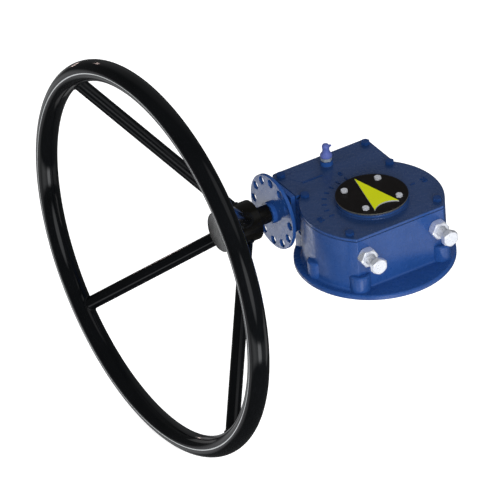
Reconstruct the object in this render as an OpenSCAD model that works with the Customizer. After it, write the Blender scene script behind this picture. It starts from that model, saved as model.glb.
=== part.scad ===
/* [Mounting base] */
// Diameter of the round base flange
base_d = 250; // [236:1:270]
// Thickness of the base flange
base_t = 8; // [6:0.5:12]
// Pitch circle of the four mounting holes
mount_pcd = 205; // [198:1:210]
// Diameter of each mounting hole
mount_hole_d = 16; // [12:0.5:18]
// Depth of each mounting hole
mount_hole_depth = 27; // [20:0.5:29]
// Diameter of the cast boss round each mounting hole
mount_boss_d = 33; // [29:0.5:36]
// Height of the top of the mounting bosses
mount_boss_top = 35; // [33:0.5:36.5]
// Diameter of the locating recess in the underside
spigot_d = 140.2; // [126:0.1:150]
// Diameter of the two dowel holes
dowel_hole_d = 12; // [8:0.5:14]
// Depth of the locating recess
spigot_depth = 4; // [3:0.5:5]

/* [Gear case] */
// Radius of the round wall
body_r = 111.3; // [110.5:0.1:115]
// Distance from the output axis to the flat front face
front_flat = 79; // [78:0.1:82]
// Height of the case to its joint with the cover
case_h = 95.5; // [95.3:0.1:104]
// Height of the floor of the gear chamber
floor_h = 22; // [18:1:30]
// Distance from the output axis to the right end of the worm block
block_right = 86; // [85.5:0.1:92]
// Distance from the output axis to the left edge of the cover
cover_left = 87.6; // [86:0.1:88]
// Distance from the output axis to the left end of the worm block
block_left = 88.2; // [88:0.1:89]
// Distance from the output axis to the front of the worm block's two ends
block_front = 79; // [78:0.5:80]
// Distance from the output axis to the back of the worm block
block_back = 152; // [150:0.5:158]
// Height of the underside of the worm block
block_bottom = 37; // [36.8:0.1:40]
// Radius of the worm block's upright corners
block_corner = 8; // [3:0.5:10]
// Radius of the upright corners of the flat front
front_corner = 3; // [1:0.5:5]
// Thickness of the wall in front of the gear chamber
front_wall = 13; // [11:0.5:15]
// Radius of the fillet between the wall and the flange
root_fillet = 4; // [1:0.5:6]

/* [Worm gear pair] */
// Module of the worm and the quadrant
gear_module = 4; // [3.9:0.02:4]
// Worm pitch diameter, in modules
worm_q = 10; // [9.6:0.1:10]
// Teeth on the full circle of the quadrant
gear_teeth = 42; // [41:1:42]
// Height of the worm axis
worm_z = 71; // [69:0.1:71]
// Turns of the worm thread
worm_turns = 6; // [4:1:6]
// Length of the worm pocket between the bearings
worm_pocket_l = 124; // [118:1:126]
// Face width of the quadrant's teeth
gear_face = 28; // [22:1:30]
// Play between worm thread and tooth on each side
flank_play = 0.3; // [0.2:0.05:0.4]
// Offset of the quadrant's stop faces from the output axis
stop_face = 21; // [18:0.5:23]
// Gap between the tooth tips and the chamber wall
chamber_gap = 4; // [3:0.25:4.5]

/* [Output] */
// Radius of the quadrant's upper journal, in the cover
journal_r = 49; // [48.5:0.1:49.5]
// Radius of the quadrant's lower journal, in the base bush
lower_journal_r = 46; // [44:0.25:46.5]
// Radius of the bore that takes the drive bush
hub_bore_r = 37; // [36:0.25:37.5]
// Radius of the bore for the valve stem
stem_r = 25; // [20:0.25:30]
// Width of the stem keyway
stem_key_w = 14; // [10:0.5:16]
// Depth of the stem keyway in the bush
stem_key_depth = 3.8; // [2.5:0.1:4]
// Length of the drive bush
drive_bush_l = 80; // [60:1:95]
// Width of the keys between quadrant and drive bush
drive_key_w = 12; // [8:0.5:14]
// Height of the keys between quadrant and drive bush
drive_key_h = 6; // [4:0.5:7]

/* [Cover] */
// Thickness of the cover plate
cover_t = 5.5; // [5:0.1:8]
// Thickness of the flat gaskets
gasket_t = 0.5; // [0.3:0.1:0.8]
// Radius of the round boss and of the indicator plate
boss_r = 56.3; // [55.5:0.1:60]
// Height of the boss above the cover plate
boss_h = 7.9; // [7:0.1:10]
// Distance of the middle and back cover bolts to either side of the output axis
bolt_x = 77; // [76.5:0.1:77.5]
// Distance of the front pair of cover bolts to either side of the output axis
bolt_front_x = 79.3; // [78.5:0.1:80]
// Distance of the front pair of cover bolts in front of the output axis
bolt_front_y = 60.7; // [60:0.1:62]
// Distance of the middle pair of cover bolts behind the output axis
bolt_mid_y = 70; // [68.5:0.1:71]
// Distance of the back pair of cover bolts behind the output axis
bolt_back_y = 139; // [137:0.1:139.5]
// Thread diameter of the cover bolts
cover_bolt_d = 8; // [6:0.5:8]
// Width across flats of the cover bolts
cover_bolt_af = 13; // [11:0.5:14]
// Number of steps on the raised scale
scale_steps = 7; // [3:1:9]
// Inner radius of the raised scale marks
scale_r = 69.5; // [64:0.5:74]
// Length of the raised scale marks
scale_mark_l = 8; // [4:0.5:12]
// Height of the raised scale marks
scale_mark_h = 0.9; // [0.4:0.1:1.5]
// Length of the raised line above the worm
worm_line_l = 36; // [20:1:48]

/* [Indicator] */
// Thickness of the indicator plate
plate_t = 2.5; // [1.5:0.1:3.5]
// Pitch radius of the indicator screws
plate_screw_pr = 43; // [42.5:0.1:43.5]
// Thread diameter of the indicator screws
plate_screw_d = 6; // [5:0.25:6]
// Width across flats of the indicator screws
plate_screw_af = 10; // [8:0.5:11]
// Distance from the axis to the tip of the pointer
pointer_tip = 49; // [44:0.1:53]
// Distance from the axis to the pointer's two tail corners
pointer_tail = 42.6; // [38:0.1:45]
// Half the width of the pointer's tail
pointer_half_w = 22; // [16:0.1:23]
// Depth of the hollow in the pointer's tail
pointer_notch = 9.3; // [5:0.1:12]
// Thickness of the pointer
pointer_t = 2.2; // [1:0.1:3]

/* [Travel stops] */
// Distance of the stop bolts to either side of the output axis
stop_x = 64.4; // [62:0.1:65]
// Height of the stop bolts
stop_z = 67.5; // [66.5:0.1:69]
// Thread diameter of the stop bolts
stop_d = 16; // [12:0.5:16]
// Width across flats of the stop bolt heads
stop_af = 24; // [21:0.5:27]
// Width across flats of the lock nuts
lock_nut_af = 27; // [24:0.5:30]
// Distance from the output axis to the outer face of the bolt heads
stop_head_y = 120.8; // [116:0.1:128]
// Thickness of the stop bolt heads
stop_head_t = 10; // [8:0.5:11]
// Thickness of the lock nuts
lock_nut_t = 13.5; // [9:0.5:14]

/* [Input side] */
// Thickness of the bearing cap plate
cap_t = 8; // [7.5:0.1:9]
// Radius of the twelve-hole disc
disc_r = 60.7; // [59:0.1:66]
// Thickness of the twelve-hole disc
disc_t = 5.5; // [4:0.1:8]
// Gap between the cap plate and the disc
disc_gap = 15; // [14:0.1:17]
// Radius of the neck behind the disc
neck_r = 21; // [19:0.1:21.2]
// Number of holes in the disc
disc_holes = 12; // [8:1:12]
// Pitch circle of the holes in the disc
disc_pcd = 102; // [98:0.5:105]
// Diameter of each hole in the disc
disc_hole_d = 13; // [10:0.5:14]
// Radius of the collar round the shaft
collar_r = 17.2; // [15:0.1:18]
// Length of the collar in front of the disc
collar_l = 7.4; // [5:0.1:12]
// Radius of the worm shaft
shaft_r = 10; // [9:0.1:10.2]
// Outer radius of the ball bearings
bearing_r = 21; // [20.5:0.1:21.5]
// Width of the ball bearings
bearing_w = 12; // [10:0.5:12]
// Balls in each bearing
bearing_balls = 9; // [7:1:10]
// Radius of the bearing balls
ball_r = 3.1; // [2.5:0.05:3.2]

/* [Handwheel] */
// Radius of the rim, to the middle of its tube
rim_r = 303.7; // [220:0.1:360]
// Radius of the rim tube
rim_tube_r = 16.85; // [13:0.05:20]
// Wall of the rim tube
rim_wall = 3.2; // [2:0.1:5]
// Distance from the output axis to the plane of the rim
rim_x = 334.3; // [300:0.1:380]
// Radius of the spokes
spoke_r = 10.75; // [8:0.05:13]
// Number of spokes
spokes = 4; // [3:1:6]
// Angle of the first spoke from the back
spoke_angle = 47; // [0:1:89]
// Where the spokes' centre lines meet the wheel axis
spoke_apex_x = 161.3; // [158:0.1:166]
// Radius of the hub
hub_r = 31.8; // [28:0.1:36]
// Length of the hub
hub_l = 62.9; // [56:0.1:72]
// Radius of the neck between hub and collar
hub_neck_r = 14.4; // [14:0.1:15]
// Length of the neck between hub and collar
hub_neck_l = 26.1; // [20:0.1:36]

/* [Grease point] */
// Distance of the grease nipple to the left of the output axis
nipple_x = 1.6; // [0:0.1:10]
// Distance of the grease nipple behind the output axis
nipple_y = 126.4; // [121:0.1:128]
// Width across flats of the nipple
nipple_af = 16; // [14:0.5:17]
// Radius of the cast boss under the nipple
nipple_boss_r = 10.2; // [9.8:0.1:12]
// Height of the cast boss under the nipple
nipple_boss_h = 8.3; // [4:0.1:12]
// Radius of the nipple cap's skirt
nipple_cap_r = 9.4; // [9:0.1:11]
// Radius of the nipple cap's waist
cap_waist_r = 5.8; // [5.4:0.1:7]
// Height of the nipple cap
nipple_cap_h = 22.7; // [22:0.1:30]

/* [Clearances] */
// Radial play of turning and sliding fits
run_play = 0.05; // [0.02:0.01:0.09]
// Gap between pieces that move past each other
move_gap = 0.3; // [0.3:0.05:0.5]
// Radial play of bolts in clearance holes
bolt_play = 0.3; // [0.2:0.05:0.5]

/* [Hidden] */
$fn = 96;
eps = 0.01;

paint_blue = "#2f4c86";
gloss_black = "#191a1c";
zinc = "#d4d8dd";
bright_steel = "#aab0b8";
iron = "#5a5d62";
bronze = "#b08a4a";
seal_black = "#222222";
gasket_grey = "#8d8a80";
pointer_yellow = "#b4b41e";
cap_violet = "#5a62a6";

// Gear pair
pressure_angle = 20;
worm_pr = gear_module * worm_q / 2;
worm_tip_r = worm_pr + gear_module;
worm_root_r = worm_pr - 1.25 * gear_module;
worm_lead = PI * gear_module;
worm_l = worm_turns * worm_lead;
lead_angle = atan(1 / worm_q);
gear_pr = gear_module * gear_teeth / 2;
gear_tip_r = gear_pr + gear_module;
gear_root_r = gear_pr - 1.25 * gear_module;
gear_base_r = gear_pr * cos(pressure_angle);
worm_y = gear_pr + worm_pr;
half_thickness = PI * gear_module / 4 - flank_play / 2;

// Heights
cover_z = case_h + gasket_t;
cover_top = cover_z + cover_t;
boss_top = cover_top + boss_h;
plate_z = boss_top + move_gap;
plate_top = plate_z + plate_t;
hub_bottom = spigot_depth + move_gap;
thrust_z = floor_h + move_gap;
chamber_r = gear_tip_r + chamber_gap;
chamber_front = front_flat - front_wall;
hub_shoulder_r = journal_r + 4;

// Raised line above the worm
worm_line_x = -42;
worm_line_w = 3;

// Base bush and seals
bush_wall = 5;
bush_r = lower_journal_r + bush_wall;
oring_r = 1.8;
bush_z = spigot_depth + 2 * oring_r + 0.4;
cover_oring_z = (cover_z + boss_top) / 2;

// Stations along the worm axis, negative towards the handwheel
worm_pocket_r = worm_tip_r + 2.5;
pocket_half = worm_pocket_l / 2;
near_bearing_x = gasket_t - block_left;
far_bearing_x = pocket_half;
shoulder_r = bearing_r - 2.5;
gasket_x = -block_left - gasket_t;
cap_face_x = gasket_x - cap_t;
disc_back_x = cap_face_x - disc_gap;
disc_face_x = disc_back_x - disc_t;
collar_end_x = disc_face_x - collar_l;
neck_end_x = collar_end_x - 2 * move_gap;
hub_rear_x = neck_end_x - hub_neck_l;
hub_front_x = hub_rear_x - hub_l;
shaft_front_x = hub_front_x + 8;
shaft_rear_x = far_bearing_x + bearing_w;

// Bearing cap details
seal_r = shaft_r + 6;
seal_w = 7;
cap_bolt_d = 6;
cap_bolt_head_d = 10;
cap_bolt_head_h = 6;
cap_bolt_inset = 5.2;
cap_bolt_dz = 18.5;
cap_bolt_grip = 8;
cap_bolt_l = cap_t + gasket_t + cap_bolt_grip;
cap_mid_y = (block_front + block_back) / 2;
cap_bolt_dy = (block_back - block_front) / 2 - cap_bolt_inset;

// Bearing balls
ball_pr = (bearing_r + shaft_r) / 2;
ball_play = 0.1;
race_gap = 1.4;

// Fasteners
cover_bolt_head = 0.65 * cover_bolt_d;
cover_bolt_grip = 15;
cover_bolt_l = cover_t + gasket_t + cover_bolt_grip;
dowel_r = 3;
dowel_depth = 8;
dowel_rise = 3;
dowel_pr = (body_r + chamber_r) / 2;
dowel_angles = [200, 340];
plate_screw_head = 0.65 * plate_screw_d;
plate_screw_l = 16;
set_screw_d = 6;
set_screw_x = hub_rear_x - 10;

// Keys
hub_key_w = 6;
hub_key_h = 6;
hub_key_inset = 14;
hub_key_x0 = hub_front_x + hub_key_inset;
hub_key_x1 = hub_rear_x - 4;

// Reach of the cope in the spokes' inner ends past the hub
spoke_cope = 20;

// Grease nipple
nipple_hex_h = 5.2;
nipple_shank_r = 4.5;
nipple_head_r = 3.5;
nipple_head_h = 10;
nipple_z = cover_top + nipple_boss_h;
cap_z = nipple_z + nipple_hex_h + move_gap;
cap_bore_r = nipple_head_r + move_gap;
cap_skirt_h = 4;
cap_flare_h = 5;
nipple_pos = [-nipple_x, nipple_y, 0];

// Regular hexagonal prism by its width across flats
module hex(af, h) {
    cylinder(d = af / cos(30), h = h, $fn = 6);
}

// Hexagon bolt head with its chamfered crown
module hex_head(af, h) {
    intersection() {
        hex(af, h);
        cylinder(r1 = af / 2 + h * 1.7, r2 = af / 2 - 0.2, h = h);
    }
}

// Solid round bar along X between two stations
module bar_x(r, x0, x1) {
    translate([x0, 0, 0]) rotate([0, 90, 0]) cylinder(r = r, h = x1 - x0);
}

// Moves its children onto the worm axis
module at_worm() {
    translate([0, worm_y, worm_z]) children();
}

// Repeats its children at the six cover bolts
module at_cover_bolts() {
    places = [[bolt_front_x, -bolt_front_y], [bolt_x, bolt_mid_y], [bolt_x, bolt_back_y]];
    for (side = [-1, 1], place = places) translate([side * place[0], place[1], 0]) children();
}

// Repeats its children at the given angles, on the mounting circle
module at_mount(angles) {
    for (a = angles) rotate(a) translate([mount_pcd / 2, 0, 0]) children();
}

// Repeats its children at the two cover dowels
module at_dowels() {
    for (a = dowel_angles) rotate(a) translate([dowel_pr, 0, 0]) children();
}

// Repeats its children at the four indicator screws
module at_plate_screws() {
    for (a = [45 : 90 : 315]) rotate(a) translate([plate_screw_pr, 0, 0]) children();
}

// Repeats its children at the four bearing cap bolts, from the cap's face inwards
module at_cap_bolts() {
    for (dy = [-1, 1], dz = [-1, 1])
        translate([cap_face_x, cap_mid_y + dy * cap_bolt_dy, worm_z + dz * cap_bolt_dz])
            rotate([0, 90, 0]) children();
}

// Plan of a rectangle with round back corners
module block_plan(left, right) {
    c = block_corner;
    d = block_back - block_front;
    translate([-left, block_front]) square([left + right, d - c]);
    translate([-left + c, block_front]) square([left + right - 2 * c, d]);
    for (x = [-left + c, right - c]) translate([x, block_back - c]) circle(c);
}

// Plan of the round wall with its flat front and rounded upright corners
module round_plan() {
    c = front_corner;
    cx = sqrt(pow(body_r - c, 2) - pow(front_flat - c, 2));
    cy = c - front_flat;
    edge = body_r / (body_r - c);
    difference() {
        intersection() {
            circle(body_r);
            translate([-2 * body_r, -front_flat]) square(4 * body_r);
        }
        for (side = [-1, 1]) polygon([[side * cx, cy], [side * cx, -front_flat - 1],
            [side * body_r, -front_flat - 1], [side * cx * edge, cy * edge]]);
    }
    for (side = [-1, 1]) translate([side * cx, cy]) circle(c);
}

// Plan of the cover: round wall and worm block together
module cover_plan() {
    round_plan();
    block_plan(cover_left, block_right);
}

// Plan of the round gear chamber
module gear_plan() {
    intersection() {
        circle(chamber_r);
        translate([-2 * chamber_r, -chamber_front]) square(4 * chamber_r);
    }
}

// Plan of the pocket over the worm
module worm_plan() {
    translate([-pocket_half, worm_y - worm_pocket_r]) square([2 * pocket_half, 2 * worm_pocket_r]);
}

// Base flange with a rounded upper edge
module base_flange() {
    e = 3;
    r = base_d / 2;
    rotate_extrude() {
        square([r, base_t - e]);
        square([r - e, base_t]);
        translate([r - e, base_t - e]) circle(e);
    }
}

// Cast boss with a rounded top edge
module mount_boss() {
    e = 4;
    r = mount_boss_d / 2;
    rotate_extrude() {
        square([r, mount_boss_top - e]);
        square([r - e, mount_boss_top]);
        translate([r - e, mount_boss_top - e]) intersection() {
            circle(e);
            square(e);
        }
    }
}

// Ring that blends the round wall into the base flange
module wall_fillet() {
    intersection() {
        translate([0, 0, base_t - 1]) rotate_extrude() difference() {
            translate([body_r - 1, 0]) square([root_fillet + 1, root_fillet + 1]);
            translate([body_r + root_fillet, root_fillet + 1]) circle(root_fillet);
        }
        translate([-base_d, 2 - front_flat, 0]) cube([2 * base_d, 2 * base_d, case_h]);
    }
}

// Strip that blends the flat front into the base flange
module front_fillet() {
    half = sqrt(pow(body_r, 2) - pow(front_flat, 2)) - 2;
    translate([-half, -front_flat, base_t - 1]) rotate([90, 0, 90]) linear_extrude(2 * half) difference() {
        translate([-root_fillet, 0]) square([root_fillet + 1, root_fillet + 1]);
        translate([-root_fillet, root_fillet + 1]) circle(root_fillet);
    }
}

// Cast case: base flange, round wall, worm block and bosses
module housing() color(paint_blue) difference() {
    union() {
        base_flange();
        linear_extrude(case_h) round_plan();
        translate([0, 0, block_bottom])
            linear_extrude(case_h - block_bottom) block_plan(block_left, block_right);
        at_mount([0, 45, 135, 180, 225, 315]) mount_boss();
        wall_fillet();
        front_fillet();
    }
    // gear chamber and worm pocket
    translate([0, 0, floor_h]) linear_extrude(case_h) gear_plan();
    at_worm() bar_x(worm_pocket_r, -pocket_half, pocket_half);
    translate([0, 0, worm_z]) linear_extrude(case_h) worm_plan();
    // bearing seats
    at_worm() bar_x(shoulder_r, -block_left - 1, pocket_half);
    at_worm() bar_x(bearing_r, -block_left - 1, near_bearing_x + bearing_w);
    at_worm() bar_x(bearing_r, far_bearing_x - 1, far_bearing_x + bearing_w + move_gap);
    // output bore and the locating recess
    translate([0, 0, -1]) cylinder(r = bush_r, h = floor_h + 2);
    translate([0, 0, -1]) cylinder(d = spigot_d, h = spigot_depth + 1);
    // mounting and dowel holes
    at_mount([45 : 90 : 315]) translate([0, 0, -1]) cylinder(d = mount_hole_d, h = mount_hole_depth + 1);
    at_mount([0, 180]) translate([0, 0, -1]) cylinder(d = dowel_hole_d, h = mount_hole_depth - 4);
    // tapped holes
    at_cover_bolts() translate([0, 0, cover_top - cover_bolt_l - 4]) cylinder(d = cover_bolt_d, h = case_h);
    at_dowels() translate([0, 0, case_h - dowel_depth]) cylinder(r = dowel_r, h = dowel_depth + 1);
    at_cap_bolts() cylinder(d = cap_bolt_d, h = cap_bolt_l + 1.5);
    for (side = [-1, 1]) translate([side * stop_x, 0, stop_z])
        rotate([90, 0, 0]) cylinder(r = stop_d / 2 + run_play, h = front_flat + 1);
}

// Bronze bush for the lower journal
module base_bush() color(bronze) translate([0, 0, bush_z]) difference() {
    cylinder(r = bush_r, h = floor_h - bush_z);
    translate([0, 0, -1]) cylinder(r = lower_journal_r + run_play, h = floor_h);
}

// Rubber ring round a journal
module oring(inner_r, z) {
    translate([0, 0, z]) rotate_extrude() translate([inner_r + run_play + oring_r, 0]) circle(oring_r);
}

module base_oring() color(seal_black) oring(lower_journal_r, bush_z - oring_r);

// Radial scale mark, sunk a little into the cover
module scale_mark(angle, length, width) {
    rotate(angle) translate([scale_r, -width / 2, cover_top - 1]) cube([length, width, scale_mark_h + 1]);
}

// Raised line along the worm's axis, sunk a little into the cover
module worm_line() {
    translate([worm_line_x - worm_line_l / 2, worm_y - worm_line_w / 2, cover_top - 1])
        cube([worm_line_l, worm_line_w, scale_mark_h + 1]);
}

// Cast cover with the indicator boss, raised scale and grease boss
module top_cover() color(paint_blue) difference() {
    union() {
        translate([0, 0, cover_z]) linear_extrude(cover_t) cover_plan();
        translate([0, 0, cover_z]) rotate_extrude() {
            square([boss_r, boss_top - cover_z]);
            difference() {
                square([boss_r + 2, cover_t + 2]);
                translate([boss_r + 2, cover_t + 2]) circle(2);
            }
        }
        for (i = [0 : scale_steps]) scale_mark(90 + 90 * i / scale_steps, scale_mark_l, 2);
        scale_mark(0, scale_mark_l, 2);
        worm_line();
        translate(nipple_pos + [0, 0, cover_z]) cylinder(r = nipple_boss_r, h = cover_t + nipple_boss_h);
    }
    translate([0, 0, cover_z - 1]) cylinder(r = journal_r + run_play, h = boss_top);
    translate([0, 0, cover_oring_z - oring_r]) cylinder(r = journal_r + 2 * oring_r + 0.3, h = 2 * oring_r);
    at_cover_bolts() translate([0, 0, cover_z - 1])
        cylinder(d = cover_bolt_d + 2 * bolt_play, h = cover_t + 2);
    at_dowels() translate([0, 0, cover_z - 1]) cylinder(r = dowel_r, h = dowel_rise + 1);
    translate(nipple_pos + [0, 0, cover_z - 1])
        cylinder(r = nipple_shank_r, h = cover_t + nipple_boss_h + 2);
}

module cover_gasket() color(gasket_grey) translate([0, 0, case_h]) difference() {
    linear_extrude(gasket_t) difference() {
        cover_plan();
        gear_plan();
        worm_plan();
    }
    at_cover_bolts() translate([0, 0, -1]) cylinder(d = cover_bolt_d + 2 * bolt_play, h = 3);
    at_dowels() translate([0, 0, -1]) cylinder(r = dowel_r, h = 3);
}

// Six hex bolts of the cover
module cover_bolts() color(paint_blue) at_cover_bolts() {
    translate([0, 0, cover_top]) hex_head(cover_bolt_af, cover_bolt_head);
    translate([0, 0, cover_top - cover_bolt_l]) cylinder(d = cover_bolt_d, h = cover_bolt_l + eps);
}

module cover_dowels() color(bright_steel) at_dowels()
    translate([0, 0, case_h - dowel_depth]) cylinder(r = dowel_r, h = dowel_depth + gasket_t + dowel_rise);

module cover_oring() color(seal_black) oring(journal_r, cover_oring_z);

// Outline of the bearing cap plate up to the given height, height first and then depth
module cap_plan(top) {
    c = block_corner;
    h = top - block_bottom;
    w = block_back - block_front;
    translate([block_bottom, block_front]) {
        square([h, w - c]);
        translate([c, 0]) square([h - 2 * c, w]);
        for (x = [c, h - c]) translate([x, w - c]) circle(c);
    }
}

// Bearing cap in one casting with the drilled disc and the shaft collar
module input_flange() color(paint_blue) difference() {
    union() {
        translate([gasket_x, 0, 0]) rotate([0, -90, 0]) linear_extrude(cap_t) cap_plan(cover_top);
        at_worm() bar_x(neck_r, disc_back_x - 1, cap_face_x + 1);
        at_worm() bar_x(disc_r, disc_face_x, disc_back_x);
        at_worm() bar_x(collar_r, collar_end_x, disc_face_x + 1);
    }
    at_worm() bar_x(shaft_r + 2 * move_gap, collar_end_x - 1, gasket_x + 1);
    at_worm() bar_x(seal_r, gasket_x - seal_w, gasket_x + 1);
    at_worm() for (i = [0 : disc_holes - 1]) rotate([360 * i / disc_holes, 0, 0])
        translate([0, disc_pcd / 2, 0]) bar_x(disc_hole_d / 2, disc_face_x - 1, disc_back_x + 1);
    at_cap_bolts() translate([0, 0, -1]) cylinder(d = cap_bolt_d + 2 * bolt_play, h = cap_t + 2);
}

module flange_gasket() color(gasket_grey) difference() {
    translate([-block_left, 0, 0]) rotate([0, -90, 0]) linear_extrude(gasket_t) cap_plan(case_h);
    at_worm() bar_x(bearing_r, gasket_x - 1, -block_left + 1);
    at_cap_bolts() cylinder(d = cap_bolt_d + 2 * bolt_play, h = cap_t + 3);
}

// Four socket-head screws of the bearing cap
module flange_bolts() color(iron) at_cap_bolts() difference() {
    union() {
        translate([0, 0, -cap_bolt_head_h]) cylinder(d = cap_bolt_head_d, h = cap_bolt_head_h + eps);
        cylinder(d = cap_bolt_d, h = cap_bolt_l);
    }
    translate([0, 0, -cap_bolt_head_h - 1]) hex(5, 4);
}

// Lip seal on the input shaft
module input_oil_seal() color(seal_black) at_worm() difference() {
    bar_x(seal_r, gasket_x - seal_w, gasket_x);
    bar_x(shaft_r + run_play, gasket_x - seal_w - 1, gasket_x + 1);
    bar_x(seal_r - 2, gasket_x - seal_w + 2, gasket_x + 1);
}

// Outer ring of a ball bearing, starting at station x
module outer_race(x) {
    at_worm() translate([x, 0, 0]) rotate([0, 90, 0]) rotate_extrude() difference() {
        translate([ball_pr + race_gap, 0]) square([bearing_r - ball_pr - race_gap, bearing_w]);
        translate([ball_pr, bearing_w / 2]) circle(ball_r + ball_play);
    }
}

// Inner ring of a ball bearing, starting at station x
module inner_race(x) {
    at_worm() translate([x, 0, 0]) rotate([0, 90, 0]) rotate_extrude() difference() {
        translate([shaft_r, 0]) square([ball_pr - race_gap - shaft_r, bearing_w]);
        translate([ball_pr, bearing_w / 2]) circle(ball_r + ball_play);
    }
}

// Balls of a ball bearing, starting at station x
module balls(x) {
    at_worm() for (i = [0 : bearing_balls - 1]) rotate([360 * i / bearing_balls, 0, 0])
        translate([x + bearing_w / 2, ball_pr, 0]) sphere(ball_r);
}

module near_outer_race() color(bright_steel) outer_race(near_bearing_x);

module far_outer_race() color(bright_steel) outer_race(far_bearing_x);

module near_inner_race() color(bright_steel) inner_race(near_bearing_x);

module far_inner_race() color(bright_steel) inner_race(far_bearing_x);

module near_balls() color(bright_steel) balls(near_bearing_x);

module far_balls() color(bright_steel) balls(far_bearing_x);

// Grease nipple: hex on the cover boss, thread below, ball head above
module grease_nipple() color(bright_steel) translate(nipple_pos + [0, 0, nipple_z]) {
    hex(nipple_af, nipple_hex_h);
    translate([0, 0, 1 - nipple_boss_h - cover_t])
        cylinder(r = nipple_shank_r, h = nipple_boss_h + cover_t);
    cylinder(r = nipple_head_r, h = nipple_hex_h + nipple_head_h);
    translate([0, 0, nipple_hex_h + nipple_head_h]) sphere(nipple_head_r);
}

// Soft cap over the nipple: skirt, flare, waist and domed end with a pull tab
module nipple_cap() color(cap_violet) translate(nipple_pos + [0, 0, cap_z]) {
    waist_z = cap_skirt_h + cap_flare_h;
    top_r = cap_waist_r - 0.6;
    difference() {
        union() {
            cylinder(r = nipple_cap_r, h = cap_skirt_h);
            translate([0, 0, cap_skirt_h]) cylinder(r1 = nipple_cap_r, r2 = cap_waist_r, h = cap_flare_h);
            translate([0, 0, waist_z])
                cylinder(r1 = cap_waist_r, r2 = top_r, h = nipple_cap_h - waist_z - top_r);
            translate([0, 0, nipple_cap_h - top_r]) sphere(top_r);
            translate([0, -2, nipple_cap_h - top_r - 2.5]) cube([cap_waist_r + 4, 4, 3]);
        }
        translate([0, 0, -1]) cylinder(r = cap_bore_r, h = nipple_head_h + nipple_head_r + move_gap + 1);
        translate([0, 0, -1]) cylinder(r = nipple_cap_r - 2, h = cap_skirt_h);
    }
}

// Two lock nuts on the flat front
module lock_nuts() color(zinc) for (side = [-1, 1])
    translate([side * stop_x, -front_flat, stop_z]) rotate([90, 0, 0]) difference() {
        hex_head(lock_nut_af, lock_nut_t);
        translate([0, 0, -1]) cylinder(r = stop_d / 2 + run_play, h = lock_nut_t + 2);
    }

// Travel stop bolt on the given side, its tip just short of the stop face
module stop_bolt(side) {
    tip = stop_face + move_gap;
    translate([side * stop_x, 0, stop_z]) rotate([90, 0, 0]) {
        translate([0, 0, tip]) cylinder(d = stop_d, h = stop_head_y - stop_head_t - tip + eps);
        translate([0, 0, stop_head_y - stop_head_t]) hex_head(stop_af, stop_head_t);
    }
}

module left_stop_bolt() color(zinc) stop_bolt(-1);

module right_stop_bolt() color(zinc) stop_bolt(1);

// Key seat on top of the shaft from station x0 to x1
module key_seat(x0, x1, h) {
    translate([x0, -hub_key_w / 2, shaft_r - hub_key_h / 2]) cube([x1 - x0, hub_key_w, h]);
}

// Plain ground shaft with the key seat of the handwheel
module worm_shaft() color(bright_steel) at_worm() difference() {
    bar_x(shaft_r, shaft_front_x, shaft_rear_x);
    key_seat(hub_key_x0, hub_key_x1, hub_key_h);
}

// Half angle of the worm thread at radius r, in the plane across the worm
function thread_half(r) = (half_thickness - (r - worm_pr) * tan(pressure_angle)) / worm_lead * 360;

// Point of the thread's cross-section at radius r and angle a
function polar(r, a) = [r * cos(a), r * sin(a)];

// Cross-section of a single-start thread: tip arc, flank, root arc, flank
thread_tip = thread_half(worm_tip_r);
thread_root = thread_half(worm_root_r);
thread_mid = [worm_pr + gear_module / 2, worm_pr - gear_module / 2];
thread_section = concat(
    [for (i = [-2 : 2]) polar(worm_tip_r, i * thread_tip / 2)],
    [for (r = thread_mid) polar(r, thread_half(r))],
    [for (i = [0 : 4]) polar(worm_root_r, thread_root + i * (180 - thread_root) / 2)],
    [for (i = [1, 0]) polar(thread_mid[i], -thread_half(thread_mid[i]))]);

// Left-hand worm sleeve, shrunk on the shaft and threaded on its whole length
module worm() color(bright_steel) at_worm() rotate([-90, 0, 0]) rotate([0, 90, 0]) rotate(worm_turns * 180)
    linear_extrude(worm_l, center = true, twist = worm_turns * 360, slices = worm_turns * 16, $fn = 8)
        difference() {
            polygon(thread_section);
            circle(shaft_r / cos(15), $fn = 12);
        }

// Sleeves that hold the worm between the bearings
module worm_spacers() color(iron) at_worm() {
    for (span = [[near_bearing_x + bearing_w, -worm_l / 2], [worm_l / 2, far_bearing_x]]) difference() {
        bar_x(shaft_r + 3.5, span[0], span[1]);
        bar_x(shaft_r, span[0] - 1, span[1] + 1);
    }
}

// Turned hub with the neck that reaches the collar
module handwheel_hub() color(gloss_black) at_worm() difference() {
    union() {
        bar_x(hub_r, hub_front_x, hub_rear_x);
        bar_x(hub_neck_r, hub_rear_x - 1, neck_end_x);
    }
    bar_x(shaft_r, shaft_front_x, neck_end_x + 1);
    key_seat(hub_key_x0, neck_end_x + 1, hub_key_h);
    translate([set_screw_x, 0, -hub_r - 1]) cylinder(d = set_screw_d, h = hub_r + 1);
}

// Socket set screw under the hub, opposite the key
module hub_set_screw() color(iron) at_worm() translate([set_screw_x, 0, 1 - hub_r]) difference() {
    cylinder(d = set_screw_d, h = hub_r - 1.2 - shaft_r);
    translate([0, 0, -1]) hex(3, 5);
}

module handwheel_key() color(bright_steel) at_worm() key_seat(hub_key_x0, hub_key_x1, hub_key_h - 0.2);

// Round bars from hub to rim, coped to both
module handwheel_spokes() color(gloss_black) at_worm() {
    dish = rim_x - spoke_apex_x;
    for (i = [0 : spokes - 1]) rotate([spoke_angle + 360 * i / spokes, 0, 0]) difference() {
        translate([-spoke_apex_x, 0, 0]) rotate([0, 0, atan2(dish, rim_r)])
            rotate([-90, 0, 0]) cylinder(r = spoke_r, h = norm([dish, rim_r]));
        bar_x(hub_r, hub_front_x, hub_rear_x + spoke_cope);
        translate([-rim_x, 0, 0]) rotate([0, 90, 0])
            rotate_extrude() translate([rim_r, 0]) circle(rim_tube_r);
    }
}

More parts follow.
